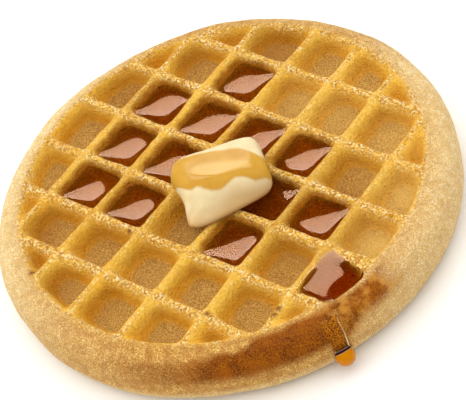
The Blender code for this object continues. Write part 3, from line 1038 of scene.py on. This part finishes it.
# The melt on the pat, in mm along and across it: its front and back edges, and the groove and
# far edge of the band that stands proud in it
MELT_FRONT = (
    (-12, -0.5), (-10.5, -1.2), (-9.1, -2.3), (-8.3, -3.7), (-7.5, -4.8), (-6.9, -5.0),
    (-5.9, -4.5), (-5.1, -4.8), (-4.2, -5.9), (-3.2, -6.5), (-1.3, -6.6), (0.7, -6.1), (1.6, -5.7),
    (2.5, -5.4), (3.8, -5.5), (4.9, -5.9), (6.3, -6.9), (9.0, -6.8), (12, -6.6),
)
MELT_BACK = (
    (-12, 5.8), (-6, 4.6), (-1.9, 4.0), (0.7, 3.4), (2.8, 2.7), (4.5, 2.0), (5.9, 1.1), (7.1, 0.1),
    (8.5, -1.4), (12, -2.6),
)
MELT_GROOVE = (
    (-6.5, -0.7), (-5.3, -1.6), (-3.5, -2.7), (-1.2, -3.5), (0.4, -3.75), (3.9, -3.9), (5.8, -4.3),
)
MELT_BAND = ((-6.3, 0.5), (-3.8, 1.0), (-0.9, 0.4), (2.0, -0.6), (4.8, -1.6), (6.2, -2.4))
# How far these edges are blurred, and between which heights on the pat the melt starts
MELT_FRONT_EDGE = (-0.25, 0.35)
MELT_BACK_EDGE = (-0.5, 0.7)
MELT_HEIGHTS = (0.0022, 0.0036)
GROOVE_EDGE = (-0.12, 0.22)
BAND_EDGE = (-0.9, 1.2)
BAND_ENDS = ((-7.0, -4.6), (5.6, 6.8))
MELT_WOBBLE = (0.25, 0.0016, 31)
# How far the melt and its band stand proud
MELT_LIFT = 0.00012
BAND_LIFT = 0.00012
# Where the front of the pat is painted in shade, along and across it
FRONT_SHADE_ALONG = (-6.0, 1.0)
FRONT_SHADE_ACROSS = (-6.0, -8.5)
# Its unevenness: height, size of its bumps and seed; heights over which it grows, and how far that
# part is set down
BUTTER_BUMPS = ((0.00022, 0.0065, 32), (0.00006, 0.0022, 33))
UPPER_HEIGHTS = (0.001, 0.003)
UPPER_SINK = 0.0003
# Where the pat bulges out, and which way: place, reach, between which heights, and how far
BUTTER_LIPS = (
    (-0.0060, -0.0065, 0.0042, (0.0012, 0.0030), 0.0014),
    (0.0030, -0.0135, 0.0035, (-0.002, 0.0), 0.0010),
)
LIP_DIRECTION = (-0.78, -0.57)


def spread_curve(points, count):
    """This many places along a smooth line through the points."""
    points = np.array(points)
    padded = np.concatenate([points[:1], points, points[-1:]])
    places = np.linspace(0, len(points) - 1, count)
    start = np.minimum(places.astype(int), len(points) - 2)
    t = (places - start)[:, None]
    a, b, c, d = (padded[start + k] for k in range(4))
    return 0.5 * (
        2 * b + (c - a) * t + (2 * a - 5 * b + 4 * c - d) * t**2 + (3 * b - a - 3 * c + d) * t**3
    )


def butter_ring(share, inset):
    """A level outline of the butter: this share of its height up, and this far in."""
    corners = np.array(BUTTER_FOOT) * (1 - share) + np.array(BUTTER_TOP) * share
    centre = corners.mean(axis=0)
    angles = math.tau * np.arange(BUTTER_SEGMENTS) / BUTTER_SEGMENTS

    def inside_of(x, y):
        distances = []
        for (ax, ay), (bx, by) in zip(corners, np.roll(corners, -1, axis=0)):
            length = math.hypot(bx - ax, by - ay)
            distances.append(((bx - ax) * (y - ay) - (by - ay) * (x - ax)) / length)
        return soft_min(distances, BUTTER_SOFTNESS)

    radii = outline(*centre, angles, BUTTER_REACH, inside_of, inset)
    return centre + radii[:, None] * np.column_stack([np.cos(angles), np.sin(angles)]), centre


def melt_masks(points):
    """Where the melt and its proud band lie on the butter, and each point's place along and across
    it in mm."""
    dx = points[:, 0] - BUTTER_MIDDLE[0]
    dy = points[:, 1] - BUTTER_MIDDLE[1]
    along = (dx * BUTTER_ALONG[0] + dy * BUTTER_ALONG[1]) * 1000
    across = (dy * BUTTER_ALONG[0] - dx * BUTTER_ALONG[1]) * 1000
    shift = wobble(points, *MELT_WOBBLE)
    front = across - table_value(MELT_FRONT, along) + shift
    back = table_value(MELT_BACK, along) - across + shift
    melt = smooth(*MELT_FRONT_EDGE, front) * smooth(*MELT_BACK_EDGE, back)
    melt *= smooth(*MELT_HEIGHTS, points[:, 2] - BUTTER_BASE)
    groove = across - table_value(MELT_GROOVE, along)
    far = table_value(MELT_BAND, along) - across
    band = smooth(*GROOVE_EDGE, groove) * smooth(*BAND_EDGE, far) * between(BAND_ENDS, along)
    return melt, band, along, across


def make_butter(material):
    rings = []
    for share, inset in spread_curve(BUTTER_SIDE, BUTTER_SIDE_RINGS):
        share = min(max(share, 0.0), 1.0)
        ring, centre = butter_ring(share, inset)
        inside, column, row = well_inside(ring[:, 0], ring[:, 1])
        in_well = (column == SAG_WELL[0]) & (row == SAG_WELL[1])
        sag = BUTTER_SAG * smooth(SAG_START, SAG_START + SAG_RUN, inside) * in_well
        z = BUTTER_BASE + share * BUTTER_HEIGHT - (1 - share) * sag
        rings.append(np.column_stack([ring, z]))
    last = rings[-1]
    for k in range(1, BUTTER_TOP_RINGS):
        ring = last.copy()
        ring[:, :2] = centre + (last[:, :2] - centre) * (1 - k / BUTTER_TOP_RINGS)
        rings.append(ring)
    points = np.concatenate(rings + [[rings[0].mean(axis=0)], [[*centre, last[0, 2]]]])
    count = BUTTER_SEGMENTS
    loops = [number * count + np.arange(count) for number in range(len(rings))]
    faces = []
    for lower, upper in zip(loops, loops[1:]):
        faces += zip(lower, np.roll(lower, -1), np.roll(upper, -1), upper)
    for k, j in enumerate(np.roll(loops[0], -1)):
        faces += [(len(points) - 2, j, k), (len(points) - 1, loops[-1][k], loops[-1][j])]
    normals = vertex_normals(points, faces)
    melt, band, along, across = melt_masks(points)
    upper = smooth(*UPPER_HEIGHTS, points[:, 2] - BUTTER_BASE)
    lift = MELT_LIFT * melt + BAND_LIFT * melt * band
    lift += upper * sum(wobble(points, *bump) for bump in BUTTER_BUMPS)
    points = points + normals * lift[:, None]
    points[:, 2] -= UPPER_SINK * upper
    for x, y, reach, heights, push in BUTTER_LIPS:
        share = bell(0, reach, np.hypot(points[:, 0] - x, points[:, 1] - y))
        share *= smooth(*heights, points[:, 2] - BUTTER_BASE)
        points[:, :2] += np.array(LIP_DIRECTION) * push * share[:, None]
    butter = add_mesh("butter_pat", points, faces, material)
    # Painted shade on the front of the pat
    front_shade = smooth(*FRONT_SHADE_ACROSS, across) * smooth(*FRONT_SHADE_ALONG, along)
    height = (points[:, 2] - BUTTER_BASE) / BUTTER_HEIGHT
    add_masks(butter, {"melt": melt, "front_shade": front_shade, "band": band, "height": height})
    return butter


# Stage


FLOOR_SIZE = 6
FLOOR_GAP = 0.0002
# The studio's light: its colour, the side that it is strongest from, and its strength from the
# other side and from there
STUDIO_COLOUR = (1.0, 0.975, 0.93, 1.0)
STUDIO_KEY = (-0.30, 0.04, 0.95)
STUDIO_LIGHT = (0.60, 2.1)
# The softbox that the syrup reflects
SOFTBOX_AIM = (0, 0, 0.006)
SOFTBOX_DIRECTION = (-0.545, 0.465, 0.69)
SOFTBOX_DISTANCE = 0.7
SOFTBOX_SIZE = (0.29, 0.21)
SOFTBOX_POWER = 2.15
CAMERA_SENSOR = 36
CAMERA_LENS = 172.57
CAMERA_PLACE = (0.26453, -0.20442, 0.35146)
CAMERA_TURN = (
    (0.77924, -0.30418, 0.54796),
    (0.57287, 0.70029, -0.42593),
    (-0.25417, 0.64581, 0.71995),
)


def add_softbox():
    light = bpy.data.lights.new("softbox", "AREA")
    light.shape = "RECTANGLE"
    light.size, light.size_y = SOFTBOX_SIZE
    light.energy = SOFTBOX_POWER
    softbox = add_object("softbox", light)
    away = Vector(SOFTBOX_DIRECTION).normalized()
    softbox.location = Vector(SOFTBOX_AIM) + away * SOFTBOX_DISTANCE
    softbox.rotation_euler = away.to_track_quat("Z", "Y").to_euler()
    softbox.visible_diffuse = False
    softbox.visible_transmission = False


def add_camera():
    camera = bpy.data.cameras.new("camera")
    camera.sensor_width = CAMERA_SENSOR
    camera.lens = CAMERA_LENS
    camera.clip_start = 0.01
    obj = add_object("camera", camera)
    turned = Matrix(CAMERA_TURN).to_4x4()
    turned.translation = CAMERA_PLACE
    obj.matrix_world = turned
    bpy.context.scene.camera = obj


def add_stage():
    bpy.ops.mesh.primitive_plane_add(size=FLOOR_SIZE, location=(0, 0, -FLOOR_GAP))
    floor = bpy.context.active_object
    floor.name = "floor"
    floor.data.materials.append(floor_material())
    world = bpy.data.worlds.new("studio")
    world.use_nodes = True
    tree = world.node_tree
    direction = add_node(tree, "TexCoord").outputs["Generated"]
    towards = add_node(
        tree, "VectorMath", {0: direction, 1: STUDIO_KEY}, operation="DOT_PRODUCT"
    ).outputs["Value"]
    strength = scaled(towards, 0.1, 1.0, *STUDIO_LIGHT)
    set_inputs(tree.nodes["Background"], {"Color": STUDIO_COLOUR, "Strength": strength})
    world.cycles_visibility.glossy = False
    bpy.context.scene.world = world
    add_softbox()
    bpy.context.scene.view_settings.view_transform = "Standard"


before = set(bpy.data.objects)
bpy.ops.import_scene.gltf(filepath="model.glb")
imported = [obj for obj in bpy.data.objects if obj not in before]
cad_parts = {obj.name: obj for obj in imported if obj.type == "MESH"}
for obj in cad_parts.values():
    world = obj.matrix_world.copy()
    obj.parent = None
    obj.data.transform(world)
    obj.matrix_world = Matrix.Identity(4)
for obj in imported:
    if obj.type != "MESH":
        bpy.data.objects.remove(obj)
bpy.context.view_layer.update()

waffle = make_waffle(crust_material())
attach(waffle, "root")
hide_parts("waffle")
pools = make_pools(syrup_material("dark_syrup")[0])
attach(pools, "root")
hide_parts(*[f"syrup_{k + 1:02d}" for k in range(len(POOLS))])
spill = make_spill(run_material())
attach(spill, "root")
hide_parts("syrup_spill")
butter = make_butter(butter_material())
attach(butter, "root")
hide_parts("butter")
add_stage()
add_camera()
